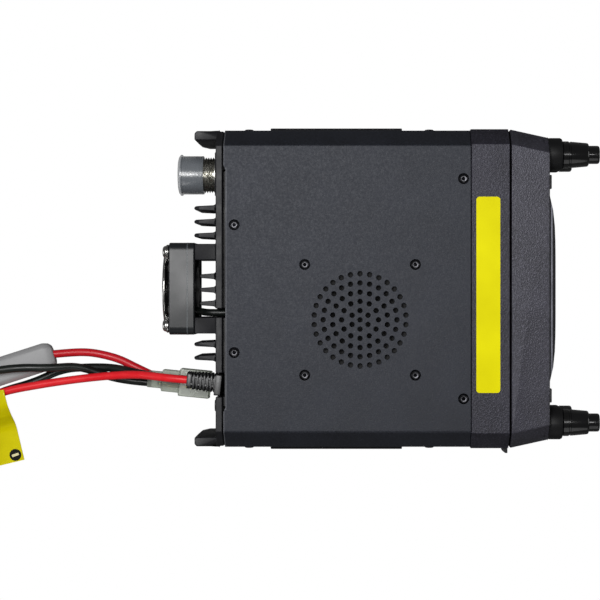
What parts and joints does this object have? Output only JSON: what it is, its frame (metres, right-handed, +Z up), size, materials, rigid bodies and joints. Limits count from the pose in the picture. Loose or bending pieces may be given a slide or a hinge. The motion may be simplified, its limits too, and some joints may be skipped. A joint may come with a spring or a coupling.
{
  "type": "mobile radio transceiver",
  "caption": "Flat black mobile radio: finned cast chassis with rear fan, pressed covers with round speaker grille, detachable control head with stacked knobs, and a folded power lead.",
  "frame": {"origin": "middle of the underside of the radio's body", "axes": "+X right-hand side seen from the front, +Y to the rear, +Z up; the controls face -Y"},
  "size_m": [0.1651, 0.3584, 0.0405],
  "materials": {
    "cover_paint": "fine black wrinkle paint",
    "casting": "black coated casting",
    "screw_steel": "black plated steel",
    "shroud_plastic": "fine grained moulding",
    "head_plastic": "fine grained moulding",
    "knob_plastic": "ribbed moulding",
    "key_plastic": "smooth moulding",
    "lens": "dark gloss window",
    "display": "liquid crystal panel",
    "board_green": "solder mask",
    "tin": "tinned steel",
    "socket_black": "moulded socket",
    "nickel": "bright nickel plate",
    "insulator": "turned white insulator",
    "brass": "bright brass",
    "cap_clear": "milky soft cap",
    "fan_plastic": "moulded fan",
    "guard_wire": "black plated wire",
    "paper": "coated paper",
    "magnet": "ferrite",
    "boot_rubber": "soft ribbed moulding",
    "wire_red": "red insulation",
    "wire_black": "black insulation",
    "holder_grey": "grey moulding",
    "plug_clear": "milky grey moulding",
    "tag_yellow": "yellow vinyl"
  },
  "bodies": {
    "radio": {"chassis": "casting", "top_cover": "cover_paint", "bottom_cover": "cover_paint", "cover_screws": "screw_steel", "side_screws": "screw_steel", "front_shroud": "shroud_plastic", "speaker_basket": "tin", "speaker_cone": "paper", "speaker_magnet": "magnet", "speaker_screws": "screw_steel", "main_board": "board_green", "shield_can": "tin", "power_module": "socket_black", "aerial_socket": "nickel", "aerial_insulator": "insulator", "aerial_contact": "brass", "fan_frame": "fan_plastic", "fan_guard": "guard_wire", "fan_screws": "screw_steel", "fan_lead": "wire_black", "speaker_jacks": "socket_black", "data_socket": "nickel", "microphone_socket": "socket_black", "link_socket": "socket_black", "power_boot": "boot_rubber", "red_lead": "wire_red", "fused_lead": "wire_red", "black_lead": "wire_black", "fuse_holder": "holder_grey", "power_plug": "plug_clear", "plug_terminals": "brass", "cable_tag": "tag_yellow"},
    "fan": {"fan_impeller": "fan_plastic"},
    "aerial_cap": {"aerial_cap": "cap_clear"},
    "latch": {"release_latch": "head_plastic"},
    "head": {"head_case": "head_plastic", "head_back": "head_plastic", "display_lens": "lens", "display_panel": "display", "head_board": "board_green", "head_plug": "socket_black", "volume_pots": "tin", "dial_encoders": "tin", "key_switches": "socket_black"},
    "volume_knob_left": {"volume_knob_left": "knob_plastic"},
    "squelch_knob_left": {"squelch_knob_left": "knob_plastic"},
    "dial_knob_left": {"dial_knob_left": "knob_plastic"},
    "volume_knob_right": {"volume_knob_right": "knob_plastic"},
    "squelch_knob_right": {"squelch_knob_right": "knob_plastic"},
    "dial_knob_right": {"dial_knob_right": "knob_plastic"},
    "key_1": {"key_1": "key_plastic"},
    "key_2": {"key_2": "key_plastic"},
    "key_3": {"key_3": "key_plastic"},
    "key_4": {"key_4": "key_plastic"},
    "key_5": {"key_5": "key_plastic"},
    "key_6": {"key_6": "key_plastic"},
    "power_key": {"power_key": "key_plastic"},
    "button_left": {"button_left": "key_plastic"},
    "button_right": {"button_right": "key_plastic"}
  },
  "joints": [
    {"name": "fan_spin", "type": "hinge", "parent": "radio", "child": "fan", "pos_m": [0, 0.08, 0.0205], "axis": [0, 1, 0], "continuous": true},
    {"name": "cap_pull", "type": "slide", "parent": "radio", "child": "aerial_cap", "axis": [0, 1, 0], "range_m": [0, 0.03]},
    {"name": "latch_slide", "type": "slide", "parent": "radio", "child": "latch", "axis": [1, 0, 0], "range_m": [0, 0.0015], "stiffness_N_per_m": 400, "springref_m": -0.002},
    {"name": "head_pull", "type": "slide", "parent": "radio", "child": "head", "axis": [0, -1, 0], "range_m": [0, 0.012]},
    {"name": "volume_left_turn", "type": "hinge", "parent": "head", "child": "volume_knob_left", "pos_m": [-0.0588, -0.09, 0.0285], "axis": [0, 1, 0], "range_deg": [-140, 140]},
    {"name": "squelch_left_turn", "type": "hinge", "parent": "head", "child": "squelch_knob_left", "pos_m": [-0.0588, -0.09, 0.0285], "axis": [0, 1, 0], "range_deg": [-140, 140]},
    {"name": "dial_left_turn", "type": "hinge", "parent": "head", "child": "dial_knob_left", "pos_m": [-0.0588, -0.09, 0.0125], "axis": [0, 1, 0], "continuous": true},
    {"name": "volume_right_turn", "type": "hinge", "parent": "head", "child": "volume_knob_right", "pos_m": [0.0588, -0.09, 0.0285], "axis": [0, 1, 0], "range_deg": [-140, 140]},
    {"name": "squelch_right_turn", "type": "hinge", "parent": "head", "child": "squelch_knob_right", "pos_m": [0.0588, -0.09, 0.0285], "axis": [0, 1, 0], "range_deg": [-140, 140]},
    {"name": "dial_right_turn", "type": "hinge", "parent": "head", "child": "dial_knob_right", "pos_m": [0.0588, -0.09, 0.0125], "axis": [0, 1, 0], "continuous": true},
    {"name": "key_1_press", "type": "slide", "parent": "head", "child": "key_1", "axis": [0, 1, 0], "range_m": [0, 0.0008], "stiffness_N_per_m": 600, "springref_m": -0.0008},
    {"name": "key_2_press", "type": "slide", "parent": "head", "child": "key_2", "axis": [0, 1, 0], "range_m": [0, 0.0008], "stiffness_N_per_m": 600, "springref_m": -0.0008},
    {"name": "key_3_press", "type": "slide", "parent": "head", "child": "key_3", "axis": [0, 1, 0], "range_m": [0, 0.0008], "stiffness_N_per_m": 600, "springref_m": -0.0008},
    {"name": "key_4_press", "type": "slide", "parent": "head", "child": "key_4", "axis": [0, 1, 0], "range_m": [0, 0.0008], "stiffness_N_per_m": 600, "springref_m": -0.0008},
    {"name": "key_5_press", "type": "slide", "parent": "head", "child": "key_5", "axis": [0, 1, 0], "range_m": [0, 0.0008], "stiffness_N_per_m": 600, "springref_m": -0.0008},
    {"name": "key_6_press", "type": "slide", "parent": "head", "child": "key_6", "axis": [0, 1, 0], "range_m": [0, 0.0008], "stiffness_N_per_m": 600, "springref_m": -0.0008},
    {"name": "power_key_press", "type": "slide", "parent": "head", "child": "power_key", "axis": [0, 1, 0], "range_m": [0, 0.0008], "stiffness_N_per_m": 600, "springref_m": -0.0008},
    {"name": "button_left_press", "type": "slide", "parent": "head", "child": "button_left", "axis": [0, 1, 0], "range_m": [0, 0.0008], "stiffness_N_per_m": 600, "springref_m": -0.0008},
    {"name": "button_right_press", "type": "slide", "parent": "head", "child": "button_right", "axis": [0, 1, 0], "range_m": [0, 0.0008], "stiffness_N_per_m": 600, "springref_m": -0.0008}
  ]
}
